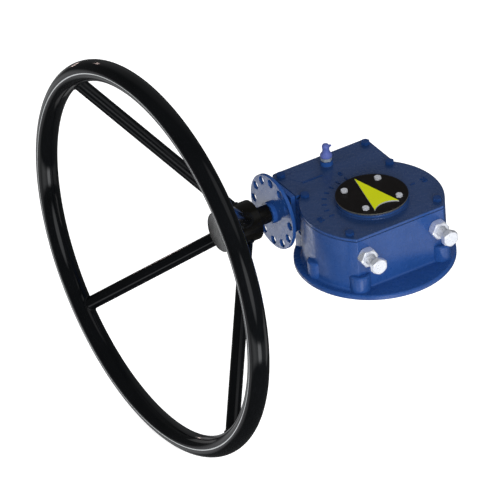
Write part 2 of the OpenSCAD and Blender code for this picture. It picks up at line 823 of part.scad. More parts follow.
// Rim bent from tube
module handwheel_rim() color(gloss_black) at_worm() translate([-rim_x, 0, 0]) rotate([0, 90, 0])
    rotate_extrude() translate([rim_r, 0]) difference() {
        circle(rim_tube_r);
        circle(rim_tube_r - rim_wall);
    }

// Half angle of a quadrant tooth at radius r, on an involute flank
function involute(a) = tan(a) * 180 / PI - a;
function flank_angle(r) = acos(min(1, gear_base_r / r));
function tooth_half(r) =
    half_thickness / gear_pr * 180 / PI + involute(pressure_angle) - involute(flank_angle(r));

// Tooth of the quadrant, seen along the output axis
module tooth_plan() {
    steps = 4;
    radii = [for (i = [0 : steps]) gear_root_r + (gear_tip_r - gear_root_r) * i / steps];
    foot = tooth_half(gear_root_r);
    polygon(concat(
        [polar(gear_root_r - 2, -foot)],
        [for (r = radii) polar(r, -tooth_half(r))],
        [for (i = [steps : -1 : 0]) polar(radii[i], tooth_half(radii[i]))],
        [polar(gear_root_r - 2, foot)]));
}

// Teeth across the quadrant, each tilted along the worm's lead
module quadrant_teeth() {
    pitch = 360 / gear_teeth;
    spare = asin(stop_face / gear_pr);
    for (k = [-floor((90 + spare) / pitch) : ceil(spare / pitch)]) rotate(90 + (k - 0.5) * pitch)
        rotate([lead_angle, 0, 0]) linear_extrude(gear_face * 1.3, center = true) tooth_plan();
}

// Output quadrant: toothed sector on a hub with two journals
module quadrant() color(iron) difference() {
    union() {
        translate([0, 0, worm_z]) intersection() {
            union() {
                cylinder(r = gear_root_r, h = gear_face, center = true);
                quadrant_teeth();
            }
            translate([-stop_face, -stop_face, -gear_face / 2])
                cube([2 * gear_tip_r, 2 * gear_tip_r, gear_face]);
        }
        translate([0, 0, thrust_z]) cylinder(r = hub_shoulder_r, h = cover_z - move_gap - thrust_z);
        translate([0, 0, thrust_z]) cylinder(r = journal_r, h = plate_z - thrust_z);
        translate([0, 0, hub_bottom]) cylinder(r = lower_journal_r, h = thrust_z);
    }
    translate([0, 0, -1]) cylinder(r = hub_bore_r, h = plate_z + 2);
    for (a = [0, 180]) rotate(a) drive_key_block(hub_bottom - 1);
    at_plate_screws() translate([0, 0, plate_top - plate_screw_l])
        cylinder(d = plate_screw_d, h = plate_screw_l);
}

// Block of a drive key, or the slot for one, from height z to the top of the bush
module drive_key_block(z) {
    translate([hub_bore_r - drive_key_h / 2, -drive_key_w / 2, z])
        cube([drive_key_h, drive_key_w, hub_bottom + drive_bush_l - z]);
}

// Replaceable bush that takes the valve stem
module drive_bush() color(bright_steel) difference() {
    translate([0, 0, hub_bottom]) cylinder(r = hub_bore_r, h = drive_bush_l);
    translate([0, 0, -1]) cylinder(r = stem_r, h = drive_bush_l + hub_bottom + 2);
    translate([-stem_key_w / 2, 0, -1])
        cube([stem_key_w, stem_r + stem_key_depth, drive_bush_l + hub_bottom + 2]);
    for (a = [0, 180]) rotate(a) drive_key_block(hub_bottom - 1);
}

module drive_keys() color(bright_steel) for (a = [0, 180]) rotate(a) drive_key_block(hub_bottom);

module indicator_plate() color(gloss_black) translate([0, 0, plate_z]) difference() {
    cylinder(r = boss_r, h = plate_t);
    at_plate_screws() translate([0, 0, -1]) cylinder(d = plate_screw_d, h = plate_t + 2);
}

// Raised arrow on the plate, with a hollow tail
module pointer() color(pointer_yellow) translate([0, 0, plate_top]) linear_extrude(pointer_t) difference() {
    polygon([[0, pointer_tip], [-pointer_half_w, -pointer_tail], [pointer_half_w, -pointer_tail]]);
    notch_half = pointer_half_w - 1;
    notch_r = (pow(notch_half, 2) + pow(pointer_notch, 2)) / (2 * pointer_notch);
    translate([0, pointer_notch - pointer_tail - notch_r]) circle(notch_r);
}

// Four small hex screws of the indicator plate
module indicator_screws() color(zinc) at_plate_screws() {
    translate([0, 0, plate_top]) hex_head(plate_screw_af, plate_screw_head);
    translate([0, 0, plate_top - plate_screw_l]) cylinder(d = plate_screw_d, h = plate_screw_l + eps);
}

housing();
base_bush();
base_oring();
top_cover();
cover_gasket();
cover_bolts();
cover_dowels();
cover_oring();
input_flange();
flange_gasket();
flange_bolts();
input_oil_seal();
near_outer_race();
far_outer_race();
grease_nipple();
lock_nuts();
worm_shaft();
worm();
worm_spacers();
near_inner_race();
far_inner_race();
near_balls();
far_balls();
handwheel_hub();
handwheel_spokes();
handwheel_rim();
handwheel_key();
hub_set_screw();
quadrant();
drive_bush();
drive_keys();
indicator_plate();
pointer();
indicator_screws();
left_stop_bolt();
right_stop_bolt();
nipple_cap();
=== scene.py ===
import math

import bmesh
import bpy
from mathutils import Matrix, Vector


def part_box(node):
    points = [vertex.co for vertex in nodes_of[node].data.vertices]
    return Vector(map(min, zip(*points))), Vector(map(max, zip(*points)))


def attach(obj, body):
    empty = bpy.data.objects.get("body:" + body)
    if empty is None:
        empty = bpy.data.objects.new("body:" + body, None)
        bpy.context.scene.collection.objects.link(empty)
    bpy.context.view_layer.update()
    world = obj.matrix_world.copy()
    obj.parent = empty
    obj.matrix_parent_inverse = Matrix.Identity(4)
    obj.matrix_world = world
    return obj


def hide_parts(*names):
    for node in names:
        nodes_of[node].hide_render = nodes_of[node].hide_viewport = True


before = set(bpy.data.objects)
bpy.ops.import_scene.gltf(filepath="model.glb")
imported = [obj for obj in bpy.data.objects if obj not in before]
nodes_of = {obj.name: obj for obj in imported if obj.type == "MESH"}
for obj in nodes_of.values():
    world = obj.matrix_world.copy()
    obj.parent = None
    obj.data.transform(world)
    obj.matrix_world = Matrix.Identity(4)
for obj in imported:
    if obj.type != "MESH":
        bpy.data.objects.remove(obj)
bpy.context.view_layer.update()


# Gear case: one grey-iron casting with a round wall, a flat front, the worm block and a round foot.
# The outside is sprayed with gloss blue paint; the foot's underside and the bores are machined bare.
BLUE = (0.017, 0.068, 0.255, 1.0)
BLUE_DEEP = (0.014, 0.060, 0.228, 1.0)
IRON = (0.26, 0.26, 0.265, 1.0)
IRON_DARK = (0.15, 0.15, 0.155, 1.0)
COLOUR, NUMBER = "NodeSocketColor", "NodeSocketFloat"


def new_piece(name, mesh):
    piece = bpy.data.objects.new(name, mesh)
    bpy.context.scene.collection.objects.link(piece)
    return piece


def mesh_of(bm, name, *finishes):
    """Plain mesh of a finished shape, with its materials."""
    mesh = bpy.data.meshes.new(name)
    bm.to_mesh(mesh)
    bm.free()
    for finish in finishes:
        mesh.materials.append(finish)
    return mesh


def own_copy(name, node, *finishes):
    """One closed mesh from the loose triangles of a node, with its flat faces made whole."""
    bm = bmesh.new()
    bm.from_mesh(nodes_of[node].data)
    bmesh.ops.remove_doubles(bm, verts=bm.verts, dist=2e-6)
    bmesh.ops.dissolve_limit(bm, angle_limit=math.radians(0.4), verts=bm.verts, edges=bm.edges)
    return new_piece(name, mesh_of(bm, name, *finishes))


def settled(piece):
    """Plain mesh of a piece as its modifiers or its curve make it."""
    bpy.context.view_layer.update()
    return bpy.data.meshes.new_from_object(piece.evaluated_get(bpy.context.evaluated_depsgraph_get()))


def smooth(piece, degrees=30):
    piece.data.shade_smooth()
    piece.data.set_sharp_from_angle(angle=math.radians(degrees))
    return piece


def round_edges(piece, width, segments=3, degrees=32, chosen=None):
    """Broken edges, as a casting or a turned piece has them; chosen gives an edge's share of the width.
    Afterwards the larger faces round each corner set its normal, so that walls and flats stay even."""
    smooth(piece, degrees)
    bevel = piece.modifiers.new("broken edges", "BEVEL")
    bevel.width = width
    bevel.segments = segments
    bevel.limit_method = "ANGLE"
    bevel.angle_limit = math.radians(degrees)
    bevel.use_clamp_overlap = False
    if chosen:
        bevel.material = 0
        bevel.limit_method = "WEIGHT"
        weight = piece.data.attributes.new("bevel_weight_edge", "FLOAT", "EDGE")
        for edge in piece.data.edges:
            weight.data[edge.index].value = chosen(*[piece.data.vertices[i].co for i in edge.vertices])
    mesh = settled(piece)
    piece.modifiers.remove(bevel)
    piece.data = mesh
    around = [[] for _ in mesh.vertices]
    for face in mesh.polygons:
        for corner in face.vertices:
            around[corner].append((face.normal.copy(), face.area))
    near = math.cos(math.radians(degrees))
    normals = []
    for face in mesh.polygons:
        for corner in face.vertices:
            lean = sum((n * area for n, area in around[corner] if n.dot(face.normal) > near), Vector())
            normals.append(lean.normalized())
    mesh.normals_split_custom_set(normals)


def fit(piece, body, slot, *replaced):
    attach(piece, body)
    if replaced:
        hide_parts(*replaced)


def feed(tree, socket, value):
    """Gives a socket a link or a plain value."""
    if isinstance(value, bpy.types.NodeSocket):
        tree.links.new(value, socket)
    else:
        socket.default_value = value


def finish_group(name, inputs):
    """Empty shader group with a Colour, a Roughness and a Height output, and these named inputs."""
    group = bpy.data.node_groups.new(name, "ShaderNodeTree")
    for label, kind, value in inputs:
        group.interface.new_socket(label, in_out="INPUT", socket_type=kind).default_value = value
    for label, kind in (("Colour", COLOUR), ("Roughness", NUMBER), ("Height", NUMBER)):
        group.interface.new_socket(label, in_out="OUTPUT", socket_type=kind)
    given = group.nodes.new("NodeGroupInput").outputs
    group.nodes.new("NodeGroupOutput")
    return group, given, group.nodes.new("ShaderNodeTexCoord").outputs["Object"]


def noise(tree, vector, scale, detail=3.0, rough=0.55):
    node = tree.nodes.new("ShaderNodeTexNoise")
    for label, value in (("Vector", vector), ("Scale", scale), ("Detail", detail), ("Roughness", rough)):
        feed(tree, node.inputs[label], value)
    return node.outputs["Fac"]


def spread(tree, value, low, high, to_low=0.0, to_high=1.0):
    """Stretches a value from low and high to new ends, which may be sockets."""
    node = tree.nodes.new("ShaderNodeMapRange")
    node.interpolation_type = "SMOOTHSTEP"
    labels = ("Value", "From Min", "From Max", "To Min", "To Max")
    for label, end in zip(labels, (value, low, high, to_low, to_high)):
        feed(tree, node.inputs[label], end)
    return node.outputs["Result"]


def blend(tree, mask, first, second):
    node = tree.nodes.new("ShaderNodeMix")
    node.data_type = "RGBA"
    tree.links.new(mask, node.inputs["Factor"])
    tree.links.new(first, node.inputs["A"])
    tree.links.new(second, node.inputs["B"])
    return node.outputs["Result"]


def maths(tree, operation, *values):
    """One step of arithmetic on sockets or plain values."""
    node = tree.nodes.new("ShaderNodeMath")
    node.operation = operation
    for socket, value in zip(node.inputs, values):
        feed(tree, socket, value)
    return node.outputs["Value"]


def sum_of(tree, first, second, share):
    """first plus a share of second."""
    return maths(tree, "MULTIPLY_ADD", second, share, first)


def end_finish(group, second, mask, gloss, height):
    """Ends a finish group: two colours by a mask, gloss between its ends by a value's spread, and relief."""
    given, result = group.nodes["Group Input"].outputs, group.nodes["Group Output"].inputs
    group.links.new(blend(group, mask, given["Colour"], given[second]), result["Colour"])
    group.links.new(spread(group, *gloss, given["Gloss low"], given["Gloss high"]), result["Roughness"])
    group.links.new(height, result["Height"])
    return group


def sprayed_paint():
    """Sprayed gloss enamel: orange peel over the skin of the piece, slightly uneven in colour and gloss."""
    group, given, place = finish_group("sprayed enamel", [
        ("Colour", COLOUR, BLUE), ("Deep colour", COLOUR, BLUE_DEEP),
        ("Peel per metre", NUMBER, 420.0), ("Skin per metre", NUMBER, 110.0),
        ("Gloss low", NUMBER, 0.12), ("Gloss high", NUMBER, 0.2)])
    clouds = noise(group, place, 17.0, 4.0)
    peel = noise(group, place, given["Peel per metre"], 1.5, 0.4)
    film = noise(group, place, given["Skin per metre"], 3.0, 0.5)
    mask = spread(group, clouds, 0.3, 0.72)
    return end_finish(group, "Deep colour", mask, (film, 0.3, 0.7), sum_of(group, peel, film, 1.6))


def machined_face():
    """Cut metal: fine tool lines along one direction, set by how fast the lines repeat on each axis."""
    group, given, place = finish_group("machined metal", [
        ("Colour", COLOUR, IRON), ("Line colour", COLOUR, IRON_DARK),
        ("Lines per metre", "NodeSocketVector", (40.0, 40.0, 2600.0)),
        ("Gloss low", NUMBER, 0.25), ("Gloss high", NUMBER, 0.42)])
    turn = group.nodes.new("ShaderNodeMapping")
    group.links.new(place, turn.inputs["Vector"])
    group.links.new(given["Lines per metre"], turn.inputs["Scale"])
    lines = noise(group, turn.outputs["Vector"], 1.0, 3.0, 0.6)
    stains = noise(group, place, 36.0, 3.0)
    mask = spread(group, sum_of(group, lines, stains, 0.5), 0.5, 1.05)
    return end_finish(group, "Line colour", mask, (stains, 0.3, 0.7), lines)


def finish_of(name, group, values, bump, depth, **shader_values):
    """Material that takes its colour, gloss and relief from a finish group; plain values go on the shader."""
    material = bpy.data.materials.new(name)
    material.use_nodes = True
    tree = material.node_tree
    shader = tree.nodes["Principled BSDF"]
    film = tree.nodes.new("ShaderNodeGroup")
    film.node_tree = group
    for label, value in values.items():
        film.inputs[label].default_value = value
    relief = tree.nodes.new("ShaderNodeBump")
    relief.inputs["Strength"].default_value = bump
    relief.inputs["Distance"].default_value = depth
    tree.links.new(film.outputs["Height"], relief.inputs["Height"])
    tree.links.new(relief.outputs["Normal"], shader.inputs["Normal"])
    tree.links.new(film.outputs["Colour"], shader.inputs["Base Color"])
    tree.links.new(film.outputs["Roughness"], shader.inputs["Roughness"])
    for label, value in shader_values.items():
        shader.inputs[label.replace("_", " ")].default_value = value
    return material


enamel = sprayed_paint()
machined = machined_face()
blue_casting = finish_of("blue enamel on casting", enamel, {
    "Gloss low": 0.24, "Gloss high": 0.34}, 0.13, 0.0004)
foot_iron = finish_of("faced iron", machined, {
    "Lines per metre": (900.0, 60.0, 60.0)}, 0.25, 0.0001, Metallic=0.9)

LEVEL, FINE, HAIR = 1e-5, 1e-4, 5e-4  # margins in metres, for choosing faces and edges
FLAT = 0.9  # a face whose normal rises by more than this lies level
case_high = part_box("housing")[1]
foot_r, case_top = case_high.x, case_high.z
wall_r, flat_y = 0.1113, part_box("lock_nuts")[1].y
spigot_r, spigot_depth = 0.070, 0.004
chamber_r, chamber_floor, chamber_front = 0.092, 0.022, -0.067
boss_top, top_inner_r = 0.037, 0.0965
gear_case = own_copy("gear_case_casting", "housing", blue_casting, foot_iron)
for face in gear_case.data.polygons:
    y, z = face.center.yz
    reach = max(math.hypot(*gear_case.data.vertices[i].co.xy) for i in face.vertices)
    underside = z < spigot_depth + HAIR and face.normal.z < -FLAT
    output_bore = reach < spigot_r + HAIR and z < chamber_floor + HAIR
    inside = reach < chamber_r + HAIR and chamber_floor - HAIR < z < case_top + FINE and y > chamber_front
    if underside or output_bore or inside or z > case_top - FINE:
        face.material_index = 1


def outer_edge(a, b):
    """Share of the rounding for the corners of the flat, the foot, the boss tops, the block and the top."""
    near, far = sorted((math.hypot(*a.xy), math.hypot(*b.xy)))
    if abs(a.z - b.z) > LEVEL:
        return float(max(a.y, b.y) < flat_y + FINE and near > wall_r - HAIR and far < wall_r + HAIR)
    foot = a.z < HAIR and near > foot_r - HAIR
    return 0.4 * (foot or abs(a.z - boss_top) < LEVEL or (a.z > case_top - FINE and near > top_inner_r))


round_edges(gear_case, 0.0022, chosen=outer_edge)
fit(gear_case, "gear_case", "blue_paint", "housing")


# Bearing-face pad: part of the case casting, where the worm block's bearing face runs on below the cap
# and forward to the wall. It is painted with the case and has one tapped hole.
def circle(radius, z, count):
    """Points of a level ring about the Z axis."""
    angles = [2 * math.pi * i / count for i in range(count)]
    return [(radius * math.cos(angle), radius * math.sin(angle), z) for angle in angles]


def ring_of(bm, points):
    return [bm.verts.new(point) for point in points]


def skin(bm, first, second):
    """Faces between two rings of the same count."""
    count = len(first)
    for i in range(count):
        bm.faces.new((first[i], first[(i + 1) % count], second[(i + 1) % count], second[i]))


pad_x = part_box("input_flange")[1].x
pad_front, pad_low, pad_end = 0.062, 0.007, 0.086
cap_front, cap_low = 0.079, 0.037
wall_back, block_back = -0.078, -0.070
hole_y, hole_z, hole_r, hole_depth = 0.0712, 0.0388, 0.0036, 0.009
outline = [(pad_front, pad_low), (pad_end, pad_low), (pad_end, cap_low), (cap_front, cap_low),
           (cap_front, case_top), (pad_front, case_top)]
hole = [(hole_y + y, hole_z + z) for y, z, _ in circle(hole_r, 0.0, 24)]
bm = bmesh.new()
front = ring_of(bm, [(pad_x, y, z) for y, z in outline])
back = ring_of(bm, [(wall_back if y < pad_end else block_back, y, z) for y, z in outline])
mouth = ring_of(bm, [(pad_x, y, z) for y, z in hole])
end = ring_of(bm, [(pad_x + hole_depth, y, z) for y, z in hole])
skin(bm, front, back)
skin(bm, mouth, end)
rings = [edge for edge in bm.edges if all(vert.co.x == front[0].co.x for vert in edge.verts)]
bmesh.ops.triangle_fill(bm, use_beauty=True, edges=rings)
bm.faces.new(end)
bm.faces.new((back[0], back[1], back[2], back[3]))
bm.faces.new((back[0], back[3], back[4], back[5]))
bmesh.ops.recalc_face_normals(bm, faces=bm.faces)
pad = new_piece("bearing_face_pad", mesh_of(bm, "bearing_face_pad", blue_casting))
fit(smooth(pad), "gear_case", "blue_paint")


# Base bush and its seal: a turned bronze sleeve pressed into the foot, and a moulded rubber ring under it.
# They carry and seal the quadrant's lower journal; both are hidden once the drive is on its valve.
def plain_grain():
    """Moulded or rolled stock: two close colours in a fine grain, with a matt, uneven gloss."""
    group, given, place = finish_group("fine grain", [
        ("Colour", COLOUR, (0.02, 0.02, 0.02, 1)), ("Grain colour", COLOUR, (0.03, 0.03, 0.03, 1)),
        ("Grain per metre", NUMBER, 900.0), ("Gloss low", NUMBER, 0.45), ("Gloss high", NUMBER, 0.65)])
    specks = noise(group, place, given["Grain per metre"], 5.0, 0.65)
    clouds = noise(group, place, 45.0, 2.0)
    mask = spread(group, sum_of(group, specks, clouds, 0.6), 0.55, 1.05)
    return end_finish(group, "Grain colour", mask, (specks, 0.3, 0.7), specks)


def coat(material, *cad_nodes):
    """Puts a finish on nodes that keep their own shape."""
    for node in cad_nodes:
        mesh = nodes_of[node].data
        mesh.materials.clear()
        mesh.materials.append(material)


grain = plain_grain()
bush_bronze = finish_of("turned bronze", machined, {
    "Colour": (0.50, 0.31, 0.12, 1), "Line colour": (0.34, 0.20, 0.08, 1)}, 0.3, 0.0001, Metallic=1.0)
seal_rubber = finish_of("seal rubber", grain, {}, 0.2, 0.0001)
coat(bush_bronze, "base_bush")
coat(seal_rubber, "base_oring")


# Output quadrant with its drive bush and keys: an iron sector with hobbed teeth on a turned hub,
# and a steel bush that is keyed into it and bored for the valve stem.
gear_iron = finish_of("hobbed gear iron", machined, {
    "Colour": (0.21, 0.21, 0.22, 1), "Line colour": (0.10, 0.10, 0.105, 1),
    "Lines per metre": (300.0, 300.0, 1800.0)}, 0.3, 0.00015, Metallic=0.85)
turned_steel = finish_of("turned steel", machined, {
    "Colour": (0.55, 0.56, 0.58, 1), "Line colour": (0.38, 0.39, 0.41, 1),
    "Gloss low": 0.2, "Gloss high": 0.34}, 0.25, 0.0001, Metallic=1.0)
coat(gear_iron, "quadrant")
coat(turned_steel, "drive_bush", "drive_keys")


# Worm shaft group: a ground shaft with a shrunk-on left-hand worm, two sleeves and two ball bearings.
# Bright ground and polished steel, with tool lines round the shaft; all of it runs inside the worm block.
ground_steel = finish_of("ground steel", machined, {
    "Colour": (0.60, 0.61, 0.63, 1), "Line colour": (0.44, 0.45, 0.47, 1),
    "Lines per metre": (2800.0, 50.0, 50.0),
    "Gloss low": 0.12, "Gloss high": 0.24}, 0.2, 0.0001, Metallic=1.0)
dark_steel = finish_of("oiled black steel", machined, {
    "Colour": (0.060, 0.060, 0.064, 1), "Line colour": (0.035, 0.035, 0.038, 1),
    "Lines per metre": (1600.0, 80.0, 80.0)}, 0.2, 0.0001, Metallic=0.7)
coat(ground_steel, "worm_shaft", "worm", "near_outer_race", "far_outer_race",
     "near_inner_race", "far_inner_race", "near_balls", "far_balls")
coat(dark_steel, "worm_spacers")


# Bearing cap, gasket and shaft seal: a cap cast in one with a neck, a drilled disc and the shaft collar.
# It is painted like the case; a sheet gasket lies behind it and a rubber lip seal inside it.
blue_fitting = finish_of("blue enamel on turned iron", enamel, {
    "Peel per metre": 520.0, "Skin per metre": 180.0,
    "Gloss low": 0.22, "Gloss high": 0.28}, 0.12, 0.0003, Specular_IOR_Level=0.3)
gasket_fibre = finish_of("gasket fibre", grain, {
    "Colour": (0.012, 0.022, 0.055, 1), "Grain colour": (0.018, 0.028, 0.060, 1), "Grain per metre": 1500.0,
    "Gloss low": 0.6, "Gloss high": 0.8}, 0.3, 0.0001)
bearing_cap = own_copy("bearing_cap_and_disc", "input_flange", blue_fitting)
round_edges(bearing_cap, 0.0007)
fit(bearing_cap, "gear_case", "blue_paint", "input_flange")
coat(gasket_fibre, "flange_gasket")
coat(seal_rubber, "input_oil_seal")


# Cap screws: four socket-head screws of blackened steel that hold the bearing cap to the case.
# Turned heads with a hexagon socket, cut from one pattern and set at the corners of the cap.
def tree_with(name, *sizes, with_turn=True):
    """Empty geometry tree on a mesh of points, with inputs for its sizes, its turn and its material."""
    tree = bpy.data.node_groups.new(name, "GeometryNodeTree")
    kinds = [("Places", "NodeSocketGeometry")] + [(label, NUMBER) for label in sizes]
    kinds += [("Turn", "NodeSocketRotation")] * with_turn + [("Finish", "NodeSocketMaterial")]
    for label, kind in kinds:
        tree.interface.new_socket(label, in_out="INPUT", socket_type=kind)
    tree.interface.new_socket("Pieces", in_out="OUTPUT", socket_type="NodeSocketGeometry")
    return tree, tree.nodes.new("NodeGroupInput").outputs, tree.nodes.new("NodeGroupOutput").inputs


def add(tree, kind, settings=None, **inputs):
    """New node with its settings and its input values or links; a socket that joins several takes a list."""
    node = tree.nodes.new(kind)
    for label, value in (settings or {}).items():
        setattr(node, label, value)
    for label, value in inputs.items():
        for one in value if isinstance(value, list) else [value]:
            feed(tree, node.inputs[label.replace("_", " ")], one)
    return node.outputs[0]


def cylinder(tree, sides, radius, depth):
    return add(tree, "GeometryNodeMeshCylinder", Vertices=sides, Radius=radius, Depth=depth)


def lifted(tree, shape, height, share):
    """Moves a shape up by a share of a height."""
    rise = add(tree, "ShaderNodeCombineXYZ", Z=maths(tree, "MULTIPLY", height, share))
    return add(tree, "GeometryNodeTransform", Geometry=shape, Translation=rise)


def cut(tree, operation, **shapes):
    return add(tree, "GeometryNodeMeshBoolean", {"operation": operation, "solver": "EXACT"}, **shapes)


def finished(tree, shape, given, result):
    """Ends a pattern: real geometry in its material."""
    real = add(tree, "GeometryNodeRealizeInstances", Geometry=shape)
    done = add(tree, "GeometryNodeSetMaterial", Geometry=real, Material=given["Finish"])
    tree.links.new(done, result["Pieces"])


def set_in_place(tree, shape, given, result):
    """Sets the shape on each point, turned as asked."""
    set_out = add(tree, "GeometryNodeInstanceOnPoints", Points=given["Places"], Instance=shape,
                  Rotation=given["Turn"])
    finished(tree, set_out, given, result)


def run_tree(name, points, tree, values, edges=()):
    """Runs a tree on these points and keeps the result as a plain mesh."""
    seed = bpy.data.meshes.new(name)
    seed.from_pydata(points, edges, [])
    piece = new_piece(name, seed)
    maker = piece.modifiers.new("pattern", "NODES")
    maker.node_group = tree
    sockets = {s.name: s.identifier for s in tree.interface.items_tree if s.in_out == "INPUT"}
    for label, value in values.items():
        maker[sockets[label]] = value
    plain = settled(piece)
    piece.modifiers.remove(maker)
    piece.data = plain
    return piece


CORNER = 0.57735  # a hexagon's corner radius, for one unit across its flats
socket_screw, given, result = tree_with(
    "socket screw", "Head radius", "Head height", "Shank radius", "Length", "Socket width")
tall, length = given["Head height"], given["Length"]
head = lifted(socket_screw, cylinder(socket_screw, 40, given["Head radius"], tall), tall, -0.5)
recess = cylinder(socket_screw, 6, maths(socket_screw, "MULTIPLY", given["Socket width"], CORNER), tall)
head = cut(socket_screw, "DIFFERENCE", Mesh_1=head, Mesh_2=recess)
shank = lifted(socket_screw, cylinder(socket_screw, 24, given["Shank radius"], length), length, -0.5)
shank = cut(socket_screw, "DIFFERENCE", Mesh_1=shank, Mesh_2=recess)
screw = add(socket_screw, "GeometryNodeJoinGeometry", Geometry=[head, shank])
set_in_place(socket_screw, screw, given, result)

low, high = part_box("flange_bolts")
head_r = 0.005
sides, levels = (low.y + head_r, high.y - head_r), (low.z + head_r, high.z - head_r)
corners = [(low.x, y, z) for y in sides for z in levels]
cap_screws = run_tree("cap_screws", corners, socket_screw, {
    "Head radius": head_r, "Head height": 0.006, "Shank radius": 0.003, "Length": high.x - low.x,
    "Socket width": 0.005, "Turn": (0.0, -math.pi / 2, 0.0), "Finish": dark_steel})
round_edges(cap_screws, 0.0003, 2)
fit(cap_screws, "gear_case", "dark_steel", "flange_bolts")


# Cover: a flat casting with a round boss for the indicator and a raised degree scale, painted with the case.
# Its upward faces take a darker, greyer blue than its sides as painted shade, and its raised marks a deeper
# blue, also as painted shade. It lies on a thin gasket, held in place by two dowels, with a rubber ring in
# the boss; the figures of the scale are cast on, as plain numbers.
# The cover's upward faces take this darker, greyer blue as painted shade.
cover_top_painted_shade = finish_of("cover top blue, darkened as painted shade", enamel, {
    "Colour": (0.018, 0.046, 0.140, 1), "Deep colour": (0.015, 0.039, 0.118, 1),
    "Gloss low": 0.22, "Gloss high": 0.32}, 0.13, 0.0004)
# The raised marks, cast figures and cover bolts take this deeper blue as painted shade.
deep_blue_painted_shade = finish_of("deeper blue as painted shade on marks and bolts", enamel, {
    "Colour": (0.010, 0.040, 0.150, 1), "Deep colour": (0.008, 0.034, 0.130, 1),
    "Gloss low": 0.3, "Gloss high": 0.4}, 0.1, 0.0004, Specular_IOR_Level=0.12)
cover_top, boss_r, mark_rise, scale_end = 0.1015, 0.0563, 0.0012, 0.115
block_side, block_rear = 0.085, 0.150
cover = own_copy("cover_casting", "top_cover", cover_top_painted_shade, blue_casting, deep_blue_painted_shade)
# Upward faces get the darker top blue and raised marks the deeper blue, both as painted shade.
for face in cover.data.polygons:
    raised = cover_top + 2 * FINE < face.center.z < cover_top + mark_rise
    face.material_index = 2 if raised and face.center.y < scale_end else 0 if face.normal.z > FLAT else 1


def on_outline(co):
    round_part = math.hypot(*co.xy) > wall_r - 8 * FINE
    return round_part or co.y < flat_y + HAIR or abs(co.x) > block_side or co.y > block_rear


def cover_edge(a, b):
    """Share of the rounding for the boss, which has generous radii, and for the outline of the cover."""
    if abs(a.z - b.z) > LEVEL:
        return 0.0
    if a.z > cover_top - FINE and all(abs(math.hypot(*co.xy) - boss_r) < 3 * FINE for co in (a, b)):
        return 1.0
    return 0.35 * (on_outline(a) and on_outline(b) and a.z < cover_top + FINE)


round_edges(cover, 0.0024, 4, chosen=cover_edge)
fit(cover, "gear_case", "blue_paint", "top_cover")
coat(gasket_fibre, "cover_gasket")
coat(turned_steel, "cover_dowels")
coat(seal_rubber, "cover_oring")


def cast_number(name, digits, centre, turn, height=0.013):
    """Raised figure with softened edges, sunk a little into the cover."""
    words = bpy.data.curves.new(name, "FONT")
    words.body = digits
    words.size = height
    words.extrude = 0.0008
    words.bevel_depth = 0.0003
    words.bevel_resolution = 2
    words.align_x = "CENTER"
    words.align_y = "CENTER"
    pattern = new_piece(name + "_pattern", words)
    mesh = settled(pattern)
    bpy.data.objects.remove(pattern)
    mesh.transform(Matrix.Translation(centre) @ Matrix.Rotation(turn, 4, "Z"))
    mesh.materials.clear()
    # The figure takes the deeper blue of the raised marks, as painted shade.
    mesh.materials.append(deep_blue_painted_shade)
    fit(smooth(new_piece(name, mesh)), "gear_case", "blue_paint")


cast_number("scale_number_0", "0", (0.0, 0.090, cover_top), 0.0)
cast_number("scale_number_90", "90", (-0.0925, 0.0, cover_top), math.pi / 2)
cast_number("scale_number_right", "90", (0.0935, 0.0, cover_top), -math.pi / 2)


# Cover bolts: six hexagon bolts through the cover, painted over together with it; their blue is darkened as
# painted shade.
# Forged heads with a chamfered crown, all from one pattern: a hexagon bar cut by a cone at 30 degrees.
CROWN = 0.475  # the crown's radius, for one unit across its flats
taper_depth, taper_top, taper_foot = 1.7, -0.346, 2.598  # the cone's, for one unit of head height
hex_bolt, given, result = tree_with("hexagon bolt", "Across flats", "Head height", "Shank radius", "Length")
tall, length = given["Head height"], given["Length"]
bar = cylinder(hex_bolt, 6, maths(hex_bolt, "MULTIPLY", given["Across flats"], CORNER), tall)
bar = lifted(hex_bolt, bar, tall, 0.5)
crown_r = maths(hex_bolt, "MULTIPLY", given["Across flats"], CROWN)
crown = add(hex_bolt, "GeometryNodeMeshCone", Vertices=48,
            Depth=maths(hex_bolt, "MULTIPLY", tall, taper_depth),
            Radius_Top=sum_of(hex_bolt, crown_r, tall, taper_top),
            Radius_Bottom=sum_of(hex_bolt, crown_r, tall, taper_foot))
crown = lifted(hex_bolt, crown, tall, -0.5)
head = cut(hex_bolt, "INTERSECT", Mesh_2=[bar, crown])
shank = lifted(hex_bolt, cylinder(hex_bolt, 32, given["Shank radius"], length), length, -0.5)
set_in_place(hex_bolt, add(hex_bolt, "GeometryNodeJoinGeometry", Geometry=[head, shank]), given, result)

low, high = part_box("cover_bolts")
one_side = ((0.0793, -0.0607), (0.077, 0.070), (0.077, 0.139))
bolt_places = [(side * x, y, cover_top) for side in (-1, 1) for x, y in one_side]
cover_bolts = run_tree("cover_bolt_set", bolt_places, hex_bolt, {
    "Across flats": 0.013, "Head height": high.z - cover_top, "Shank radius": 0.004,
    "Length": cover_top - low.z, "Turn": (0.0, 0.0, 0.0), "Finish": deep_blue_painted_shade})
round_edges(cover_bolts, 0.0004, 2)
fit(cover_bolts, "gear_case", "blue_paint", "cover_bolts")


